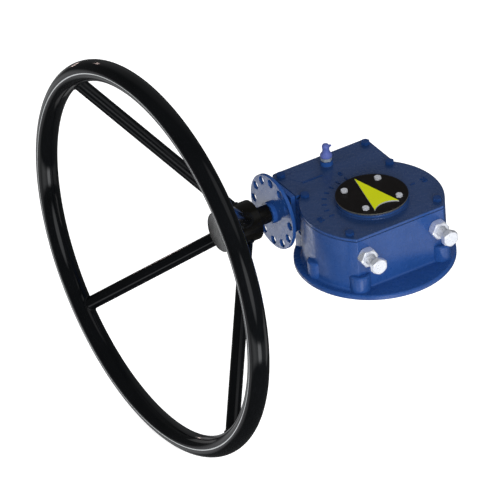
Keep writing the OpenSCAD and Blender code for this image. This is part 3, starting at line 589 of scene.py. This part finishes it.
# Indicator: a black plate on the quadrant's hub that turns with the output, under a raised arrow.
# The arrow's top is yellow enamel and its sides are pale grey as a painted highlight; the plate's rim is a
# paler grey than its black top, also as a painted highlight; four zinc screws hold the plate.
plate_black = finish_of("satin black enamel", enamel, {
    "Colour": (0.0065, 0.0048, 0.0045, 1), "Deep colour": (0.005, 0.004, 0.0038, 1), "Peel per metre": 600.0,
    "Gloss low": 0.36, "Gloss high": 0.46}, 0.1, 0.0002, Specular_IOR_Level=0.12)
arrow_yellow = finish_of("yellow enamel", enamel, {
    "Colour": (0.70, 0.76, 0.004, 1), "Deep colour": (0.65, 0.71, 0.003, 1), "Peel per metre": 700.0,
    "Gloss low": 0.36, "Gloss high": 0.46}, 0.08, 0.0002, Specular_IOR_Level=0.1)
# The arrow's sides are coloured pale grey as a painted highlight.
arrow_side_highlight = finish_of("pale arrow sides as painted highlight", machined, {
    "Colour": (0.80, 0.84, 0.85, 1), "Line colour": (0.68, 0.72, 0.74, 1),
    "Lines per metre": (90.0, 90.0, 3000.0),
    "Gloss low": 0.25, "Gloss high": 0.4}, 0.15, 0.0001, Metallic=0.55)
# The plate's rim is coloured a paler grey than its top as a painted highlight.
plate_rim_highlight = finish_of("pale plate rim as painted highlight", machined, {
    "Colour": (0.115, 0.115, 0.100, 1), "Line colour": (0.07, 0.07, 0.062, 1),
    "Lines per metre": (90.0, 90.0, 2600.0), "Gloss low": 0.4, "Gloss high": 0.5}, 0.15, 0.0001, Metallic=0.2)
inside_rim_r = 0.05
plate = own_copy("indicator_disc", "indicator_plate", plate_black, plate_rim_highlight)
# Side faces of the outer rim take the paler grey as a painted highlight.
for face in plate.data.polygons:
    upright = abs(face.normal.z) < 0.5
    face.material_index = int(upright and math.hypot(*face.center.xy) > inside_rim_r)
round_edges(plate, 0.0004, 2)
fit(plate, "output_quadrant", "black_plate", "indicator_plate")
arrow = own_copy("indicator_arrow", "pointer", arrow_yellow, arrow_side_highlight)
# Upward faces are yellow; the sides take the pale colour as a painted highlight.
for face in arrow.data.polygons:
    face.material_index = 0 if face.normal.z > FLAT else 1
round_edges(arrow, 0.00025, 2)
fit(arrow, "output_quadrant", "pointer_paint", "pointer")


def plated_zinc():
    """Zinc plating: pale metal with soft crystal patches and faint rubbing marks."""
    group, given, place = finish_group("zinc plating", [
        ("Colour", COLOUR, (0.87, 0.90, 0.97, 1)), ("Patch colour", COLOUR, (0.85, 0.88, 0.955, 1)),
        ("Patches per metre", NUMBER, 260.0), ("Gloss low", NUMBER, 0.27), ("Gloss high", NUMBER, 0.31)])
    cells = group.nodes.new("ShaderNodeTexVoronoi")
    group.links.new(place, cells.inputs["Vector"])
    group.links.new(given["Patches per metre"], cells.inputs["Scale"])
    rub = noise(group, place, 420.0, 4.0, 0.6)
    patch = sum_of(group, rub, cells.outputs["Distance"], 0.7)
    return end_finish(group, "Patch colour", spread(group, patch, 0.55, 1.15), (patch, 0.5, 1.1), rub)


zinc = plated_zinc()
zinc_plate = finish_of("bright zinc", zinc, {}, 0.003, 0.0001, Metallic=0.55)
plate_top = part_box("indicator_plate")[1].z
low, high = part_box("indicator_screws")
screw_circle_r = 0.043
reach = screw_circle_r * math.sqrt(0.5)
screw_places = [(a * reach, b * reach, plate_top) for a in (-1, 1) for b in (-1, 1)]
plate_screws = run_tree("indicator_screw_set", screw_places, hex_bolt, {
    "Across flats": 0.010, "Head height": high.z - plate_top, "Shank radius": 0.003,
    "Length": plate_top - low.z, "Turn": (0.0, 0.0, 0.26), "Finish": zinc_plate})
round_edges(plate_screws, 0.0003, 2)
fit(plate_screws, "output_quadrant", "zinc_plate", "indicator_screws")


# Travel stops: two long zinc-plated hexagon bolts with rolled threads, screwed in through the flat front,
# each held by a thick lock nut against the case.
SHARP = 28  # degrees, just under the 30 of a hexagon's chamfer
BROKEN = 0.5705  # the reach of a broken corner, for one unit across its flats


def hex_outline(across, turn, count):
    """Angles and reaches of a hexagon bar whose corners are just broken."""
    reach = []
    for i in range(count):
        angle = 2 * math.pi * i / count
        off = (angle - turn + math.pi / 6) % (math.pi / 3) - math.pi / 6
        reach.append((angle, min(across / 2 / math.cos(off), across * BROKEN)))
    return reach


def hex_rings(bm, across, near, far, crown_near=True, turn=0.0, count=48):
    """Rings of a hexagon piece along Z from near to far, chamfered at far and perhaps at near."""
    outline = hex_outline(across, turn, count)
    crown, slope = across * CROWN, 0.577
    drop = [(reach - crown) * slope for _, reach in outline]
    lower = [(r * math.cos(a), r * math.sin(a), near + d * crown_near) for (a, r), d in zip(outline, drop)]
    upper = [(r * math.cos(a), r * math.sin(a), far - d) for (a, r), d in zip(outline, drop)]
    levels = [circle(crown, near, count)] * crown_near + [lower, upper, circle(crown, far, count)]
    rings = [ring_of(bm, points) for points in levels]
    for one, other in zip(rings, rings[1:]):
        skin(bm, one, other)
    return rings


def threaded_bolt(name, radius, pitch, shank, across, head, count=48, per_turn=6):
    """Hexagon bolt along Z: the thread's tip at zero, the head's face at shank + head."""
    bm = bmesh.new()
    depth, tip_r, tip_slope = 0.6 * pitch, 0.8 * radius, 0.9
    crest, flank_width = 0.06, 0.34
    rings = [ring_of(bm, circle(tip_r, 0.0, count))]
    for k in range(1, int((shank - HAIR) / pitch * per_turn) + 1):
        z = k * pitch / per_turn
        ring = []
        for i in range(count):
            share = (z / pitch - i / count) % 1.0
            flank = min(1.0, max(0.0, (abs(share - 0.5) - crest) / flank_width))
            reach = min(radius - depth * flank, tip_r + z * tip_slope)
            angle = 2 * math.pi * i / count
            ring.append((reach * math.cos(angle), reach * math.sin(angle), z))
        rings.append(ring_of(bm, ring))
    for one, other in zip(rings, rings[1:]):
        skin(bm, one, other)
    bm.faces.new(list(reversed(rings[0])))
    top = hex_rings(bm, across, shank, shank + head)
    skin(bm, rings[-1], top[0])
    bm.faces.new(top[-1])
    bmesh.ops.recalc_face_normals(bm, faces=bm.faces)
    return mesh_of(bm, name, zinc_plate)


def lock_nut(bm, across, thick, hole, count=48):
    """Hexagon nut along Z, standing on zero, with a flat at top and bottom and a countersunk bore."""
    sink, wide = 0.0012, hole + 0.0011
    rings = hex_rings(bm, across, 0.0, thick, turn=math.pi / 6)
    levels = ((wide, 0.0), (hole, sink), (hole, thick - sink), (wide, thick))
    bore = [ring_of(bm, circle(radius, z, count)) for radius, z in levels]
    skin(bm, bore[0], rings[0])
    skin(bm, rings[-1], bore[-1])
    for one, other in zip(bore, bore[1:]):
        skin(bm, other, one)
    return [vert for ring in rings + bore for vert in ring]


stop_r, stop_pitch, stop_head, thread_play = 0.008, 0.002, 0.010, 0.00005
nut_low, nut_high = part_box("lock_nuts")
forward = Matrix.Rotation(math.pi / 2, 4, "X")
bm = bmesh.new()
for node, body in (("left_stop_bolt", "left_stop"), ("right_stop_bolt", "right_stop")):
    low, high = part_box(node)
    middle, shank = (low + high) / 2, high.y - low.y - stop_head
    mesh = threaded_bolt(node + "_threaded", stop_r, stop_pitch, shank, high.z - low.z, stop_head)
    mesh.transform(Matrix.Translation((middle.x, high.y, middle.z)) @ forward)
    fit(smooth(new_piece(node + "_threaded", mesh), SHARP), body, "zinc_plate", node)
    nut = lock_nut(bm, nut_high.z - nut_low.z, nut_high.y - nut_low.y, stop_r + thread_play)
    nut_place = Matrix.Translation((middle.x, nut_high.y, middle.z))
    bmesh.ops.transform(bm, verts=nut, matrix=nut_place @ forward)
bmesh.ops.recalc_face_normals(bm, faces=bm.faces)
nuts = new_piece("lock_nut_pair", mesh_of(bm, "lock_nut_pair", zinc_plate))
fit(smooth(nuts, SHARP), "gear_case", "zinc_plate", "lock_nuts")


# Grease nipple and its cap: a plated steel nipple with a hexagon, screwed into the cover's small boss,
# under a pull-off cap of soft violet plastic with a tab.
def turned(bm, profile, count=40):
    """Closed turned shape about Z from a list of (radius, height), starting and ending on the axis."""
    rings = [ring_of(bm, circle(radius, z, count if radius else 1)) for radius, z in profile]
    for one, other in zip(rings, rings[1:]):
        for i in range(count):
            j = (i + 1) % count
            corners = [one[i % len(one)], one[j % len(one)], other[j % len(other)], other[i % len(other)]]
            bm.faces.new(list(dict.fromkeys(corners)))


nipple_steel = finish_of("plated nipple steel", zinc, {
    "Colour": (0.60, 0.67, 0.72, 1), "Patch colour": (0.52, 0.59, 0.64, 1)}, 0.05, 0.0001, Metallic=0.6)
cap_plastic = finish_of("soft violet plastic", grain, {
    "Colour": (0.105, 0.145, 0.44, 1), "Grain colour": (0.095, 0.130, 0.40, 1), "Grain per metre": 420.0,
    "Gloss low": 0.28, "Gloss high": 0.4}, 0.08, 0.0002, Coat_Weight=0.25, Coat_Roughness=0.2)
low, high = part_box("grease_nipple")
middle = (low + high) / 2
nipple_at = Matrix.Translation((middle.x, middle.y, 0.0))
hex_foot, hex_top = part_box("top_cover")[1].z, 0.115
bm = bmesh.new()
turned(bm, [(0, low.z), (0.0038, low.z), (0.0045, low.z + 0.001), (0.0045, hex_foot + 0.0005),
            (0.0035, hex_foot + 0.003), (0.0035, high.z - 0.008), (0.0025, high.z - 0.0068),
            (0.0025, high.z - 0.0058), (0.0034, high.z - 0.0042), (0.0034, high.z - 0.003),
            (0.0022, high.z - 0.0008), (0.0008, high.z), (0, high.z - 0.0006)])
foot = hex_rings(bm, high.y - low.y, hex_foot, hex_top, False, 0.2)
bm.faces.new(foot[0])
bm.faces.new(foot[-1])
bmesh.ops.recalc_face_normals(bm, faces=bm.faces)
mesh = mesh_of(bm, "grease_nipple_turned", nipple_steel)
mesh.transform(nipple_at)
fit(smooth(new_piece("grease_nipple_turned", mesh), SHARP), "gear_case", "bright_steel", "grease_nipple")

low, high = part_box("nipple_cap")
z = low.z
bm = bmesh.new()
turned(bm, [(0, z + 0.0135), (0.0030, z + 0.0135), (0.0038, z + 0.0125), (0.0038, z + 0.003),
            (0.0074, z + 0.003), (0.0074, z), (0.0088, z), (0.0095, z + 0.0006), (0.0096, z + 0.0036),
            (0.0091, z + 0.0047), (0.0080, z + 0.0060), (0.0067, z + 0.0080), (0.0059, z + 0.0100),
            (0.0056, z + 0.0125), (0.0057, z + 0.0150), (0.0060, high.z - 0.0066), (0.0061, high.z - 0.0046),
            (0.0057, high.z - 0.0026), (0.0046, high.z - 0.0010), (0.0026, high.z - 0.0002), (0, high.z)], 48)
bmesh.ops.recalc_face_normals(bm, faces=bm.faces)
tab = bmesh.ops.create_cube(bm, size=1.0)["verts"]
tab_size = Matrix.Diagonal((0.0070, 0.0038, 0.0022, 1))
tab_place = Matrix.Translation((0.0062, 0, high.z - 0.0062)) @ Matrix.Rotation(-0.32, 4, "Y")
bmesh.ops.transform(bm, verts=tab, matrix=tab_place @ tab_size)
mesh = mesh_of(bm, "pull_off_cap", cap_plastic)
mesh.transform(nipple_at)
grease_cap = new_piece("pull_off_cap", mesh)
round_edges(grease_cap, 0.0005, 3, 40)
fit(grease_cap, "grease_cap", "cap_plastic", "nipple_cap")


# Handwheel hub: a turned steel hub with a short neck, keyed to the shaft and locked by a set screw.
# It is stove-enamelled black with the rest of the wheel, a little duller on its turned faces.
wheel_black = finish_of("gloss black enamel", enamel, {
    "Colour": (0.0035, 0.0040, 0.0048, 1), "Deep colour": (0.0025, 0.003, 0.0036, 1), "Peel per metre": 300.0,
    "Skin per metre": 60.0, "Gloss low": 0.05, "Gloss high": 0.09}, 0.05, 0.0003, Specular_IOR_Level=0.3)
hub_black = finish_of("satin black enamel on hub", enamel, {
    "Colour": (0.0052, 0.0048, 0.0040, 1), "Deep colour": (0.0036, 0.0034, 0.0030, 1),
    "Peel per metre": 300.0, "Skin per metre": 60.0,
    "Gloss low": 0.17, "Gloss high": 0.21}, 0.06, 0.0003, Specular_IOR_Level=0.15)
hub = own_copy("wheel_hub", "handwheel_hub", hub_black)
round_edges(hub, 0.0016, 3)
fit(hub, "handwheel_and_worm", "black_paint", "handwheel_hub")
coat(ground_steel, "handwheel_key")
coat(dark_steel, "hub_set_screw")


# Spokes and rim: four round bars and a ring bent from tube, welded together and to the hub,
# then enamelled black as one. Each joint has a small weld bead.
low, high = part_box("handwheel_hub")
axis_y, axis_z = ((low + high) / 2).yz
hub_r = (high.y - low.y) / 2
rim_x, rim_r, tube_r = -0.3343, 0.3037, 0.01685
spoke_r, apex_x, first_spoke = 0.01075, -0.1613, math.radians(47)

ring_tube, given, result = tree_with("tube ring", "Ring radius", "Tube radius")
path = add(ring_tube, "GeometryNodeCurvePrimitiveCircle", Resolution=240, Radius=given["Ring radius"])
section = add(ring_tube, "GeometryNodeCurvePrimitiveCircle", Resolution=48, Radius=given["Tube radius"])
tube = add(ring_tube, "GeometryNodeCurveToMesh", Curve=path, Profile_Curve=section)
set_in_place(ring_tube, tube, given, result)
rim = run_tree("wheel_rim", [(rim_x, axis_y, axis_z)], ring_tube, {
    "Ring radius": rim_r, "Tube radius": tube_r, "Turn": (0.0, math.pi / 2, 0.0), "Finish": wheel_black})
rim.data.shade_smooth()
fit(rim, "handwheel_and_worm", "black_paint", "handwheel_rim")

spokes = own_copy("wheel_spokes", "handwheel_spokes", wheel_black)
smooth(spokes)
fit(spokes, "handwheel_and_worm", "black_paint", "handwheel_spokes")


def joint_loops(count=64):
    """Points round each spoke where its skin meets the hub and the rim, found by halving along the spoke."""
    dish = rim_x - apex_x
    hub_span, rim_span, halvings = (0.0, 0.12), (0.2, 0.36), 40
    along = Vector((dish, rim_r, 0)).normalized()
    side, across = Vector((0, 0, 1)), Vector((-along.y, along.x, 0))
    loops = []
    for k in range(4):
        turn = Matrix.Rotation(first_spoke + k * math.pi / 2, 3, "X")
        for at_hub in (True, False):
            loop = []
            for i in range(count):
                angle = 2 * math.pi * i / count
                start = spoke_r * (math.cos(angle) * side + math.sin(angle) * across)
                near, far = hub_span if at_hub else rim_span
                for _ in range(halvings):
                    middle = (near + far) / 2
                    p = start + middle * along
                    if at_hub:
                        inside = math.hypot(p.y, p.z) < hub_r
                    else:
                        inside = math.hypot(math.hypot(p.y, p.z) - rim_r, p.x - dish) > tube_r
                    near, far = (middle, far) if inside else (near, middle)
                p = start + near * along
                loop.append(turn @ p + Vector((apex_x, axis_y, axis_z)))
            loops.append(loop)
    return loops


weld, given, result = tree_with("weld bead", "Bead radius", "Ripple", with_turn=False)
path = add(weld, "GeometryNodeMeshToCurve", Mesh=given["Places"])
ripples = 22
share = weld.nodes.new("GeometryNodeSplineParameter").outputs["Factor"]
wave = maths(weld, "SINE", maths(weld, "MULTIPLY", share, 2 * math.pi * ripples))
swell = maths(weld, "MULTIPLY_ADD", wave, given["Ripple"], 1.0)
section = add(weld, "GeometryNodeCurvePrimitiveCircle", Resolution=12, Radius=given["Bead radius"])
bead = add(weld, "GeometryNodeCurveToMesh", Curve=path, Profile_Curve=section, Scale=swell)
finished(weld, bead, given, result)
points, edges = [], []
for loop in joint_loops():
    first = len(points)
    points += loop
    edges += [(first + i, first + (i + 1) % len(loop)) for i in range(len(loop))]
welds = run_tree("wheel_welds", points, weld, {
    "Bead radius": 0.0021, "Ripple": 0.08, "Finish": wheel_black}, edges)
welds.data.shade_smooth()
fit(welds, "handwheel_and_worm", "black_paint")


# Studio: a pale floor under the wheel, a broad soft light from the front and weaker ones from the left, above
# and behind, two small cards low down and four small windows at the back. Gloss paint and metal mirror a dim
# room that has soft bright patches, and the camera sees plain white.
floor_half, floor_gap, floor_lift = 14.0, 0.0008, 0.78
soft_level, room_level = 0.22, 0.07
floor_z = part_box("handwheel_rim")[0].z - floor_gap
floor_mesh = bpy.data.meshes.new("pale_floor")
corners = [(x * floor_half, y * floor_half, floor_z) for x, y in ((-1, -1), (1, -1), (1, 1), (-1, 1))]
floor_mesh.from_pydata(corners, [], [(0, 1, 2, 3)])
floor = new_piece("pale_floor", floor_mesh)
floor.visible_glossy = False
pale = bpy.data.materials.new("pale floor paint")
pale.use_nodes = True
tree = pale.node_tree
tree.nodes.remove(tree.nodes["Principled BSDF"])
matt = tree.nodes.new("ShaderNodeBsdfDiffuse")
matt.inputs["Color"].default_value = (0.80, 0.80, 0.80, 1)
lift = tree.nodes.new("ShaderNodeEmission")
rays = tree.nodes.new("ShaderNodeLightPath").outputs
seen = maths(tree, "MAXIMUM", rays["Is Camera Ray"], rays["Is Glossy Ray"])
seen = maths(tree, "MAXIMUM", seen, rays["Is Transmission Ray"])
tree.links.new(maths(tree, "MULTIPLY", seen, floor_lift), lift.inputs["Strength"])
both = tree.nodes.new("ShaderNodeAddShader")
tree.links.new(matt.outputs[0], both.inputs[0])
tree.links.new(lift.outputs[0], both.inputs[1])
tree.links.new(both.outputs[0], tree.nodes["Material Output"].inputs["Surface"])
floor_mesh.materials.append(pale)

world = bpy.data.worlds.new("studio room")
bpy.context.scene.world = world
world.use_nodes = True
tree = world.node_tree
tree.nodes.clear()
rays = tree.nodes.new("ShaderNodeLightPath").outputs
towards = tree.nodes.new("ShaderNodeTexCoord").outputs["Generated"]


def glow(direction, edge, core, level):
    """Brightness round one direction of the room; edge and core are cosines of the angle from it."""
    facing = tree.nodes.new("ShaderNodeVectorMath")
    facing.operation = "DOT_PRODUCT"
    tree.links.new(towards, facing.inputs[0])
    facing.inputs[1].default_value = Vector(direction).normalized()
    return spread(tree, facing.outputs["Value"], edge, core, 0.0, level)


def glows(first, *others):
    """Several such patches together."""
    total = glow(*first)
    for patch in others:
        total = maths(tree, "ADD", total, glow(*patch))
    return total


def background(strength, colour=(1, 1, 1, 1)):
    node = tree.nodes.new("ShaderNodeBackground")
    node.inputs["Color"].default_value = colour
    feed(tree, node.inputs["Strength"], strength)
    return node.outputs[0]


def either(mask, first, second):
    """The second shade where the mask is one, and the first elsewhere."""
    node = tree.nodes.new("ShaderNodeMixShader")
    for socket, value in zip(node.inputs, (mask, first, second)):
        tree.links.new(value, socket)
    return node.outputs[0]


band = maths(tree, "SUBTRACT", glow((0, 0, -1), 0.44, 0.50, 1.0), glow((0, 0, -1), 0.59, 0.65, 1.0))
low_light = glows(
    ((0.42, -0.72, -0.55), 0.72, 0.95, 0.3), ((-0.20, -0.80, -0.55), 0.95, 0.99, 3.3),
    ((-0.63, -0.55, -0.55), 0.75, 0.96, 0.9), ((-0.83, -0.04, -0.55), 0.78, 0.96, 0.4))
patches = glows(
    ((0.42, 0.72, 0.55), 0.70, 0.95, 0.11), ((0.40, -0.55, 0.70), 0.90, 0.97, 0.6),
    ((-0.30, -0.94, 0.05), 0.93, 0.98, 1.6), ((-0.42, 0.72, -0.55), 0.9985, 0.9998, 6.0),
    ((-0.27, 0.79, -0.55), 0.93, 0.985, 0.6), ((-0.65, 0.53, -0.55), 0.955, 0.99, 0.45),
    ((0.16, 0.82, -0.55), 0.92, 0.98, 0.25))
room = maths(tree, "ADD", maths(tree, "MULTIPLY_ADD", low_light, band, room_level), patches)
lit = either(rays["Is Glossy Ray"], background(soft_level), background(room, (0.96, 0.98, 1.0, 1)))
seen = maths(tree, "MAXIMUM", rays["Is Camera Ray"], rays["Is Transmission Ray"])
shown = either(seen, lit, background(1.0))
tree.links.new(shown, tree.nodes.new("ShaderNodeOutputWorld").inputs["Surface"])
world.cycles.sampling_method = "NONE"


def lamp(name, at, towards_point, size, power, colour=(1, 1, 1), glossy=True):
    light = bpy.data.lights.new(name, "AREA")
    light.shape = "RECTANGLE"
    light.size, light.size_y = size
    light.energy = power
    light.color = colour
    holder = bpy.data.objects.new(name, light)
    bpy.context.scene.collection.objects.link(holder)
    holder.location = at
    holder.rotation_euler = (Vector(towards_point) - Vector(at)).to_track_quat("-Z", "Y").to_euler()
    holder.visible_camera = False
    holder.visible_glossy = glossy


heart, lamp_distance = Vector((-0.10, 0.05, 0.06)), 3.0
for name, side, size, power in (
        ("front_softbox", (-0.24, -0.91, 0.34), (2.2, 1.2), 82),
        ("left_fill", (-0.90, -0.10, 0.42), (1.6, 1.2), 12),
        ("overhead", (0.1, 0.1, 0.99), (2.5, 2.5), 8),
        ("back_fill", (0.66, 0.62, 0.42), (2.0, 1.4), 24)):
    lamp(name, heart + lamp_distance * Vector(side), heart, size, power, glossy=False)
lamp("low_card", (-0.32, 0.44, -0.21), (-0.11, 0.05, 0.05), (0.30, 0.14), 0.05)
lamp("front_card", (0.20, -0.42, -0.21), (0.0, -0.08, 0.05), (0.36, 0.26), 0.21)
windows = ((-0.18, 2.7, -0.12), (0.12, 2.7, -0.12), (-0.34, 2.7, 0.72), (-0.10, 2.7, 0.72))
for number, at in enumerate(windows):
    lamp("window_%d" % number, at, (-0.33, 0.1, 0.1), (0.10, 0.10), 0.3, (1.0, 0.78, 0.73))


# Camera: a long lens from the front left and above, at the photograph's own angle.
# Its axes, aim and focal length were solved from the ellipses of the foot, the rim, the plate and the disc.
view_axis = Vector((0.42248963, 0.72202087, -0.5478945))
view_right = Vector((0.84424517, -0.53343315, -0.0519535))
view_up = Vector((0.3297766, 0.44060746, 0.83493261))
aim, distance = Vector((-0.15900178, 0.10571383, 0.01670210)), 20.0
lens = bpy.data.cameras.new("long_lens")
lens.sensor_width = 36.0
lens.lens = 941.08
lens.clip_end = 80.0
camera = bpy.data.objects.new("long_lens", lens)
bpy.context.scene.collection.objects.link(camera)
turn = Matrix((view_right, view_up, -view_axis)).transposed().to_4x4()
camera.matrix_world = Matrix.Translation(aim - distance * view_axis) @ turn
bpy.context.scene.camera = camera
bpy.context.scene.view_settings.view_transform = "Standard"
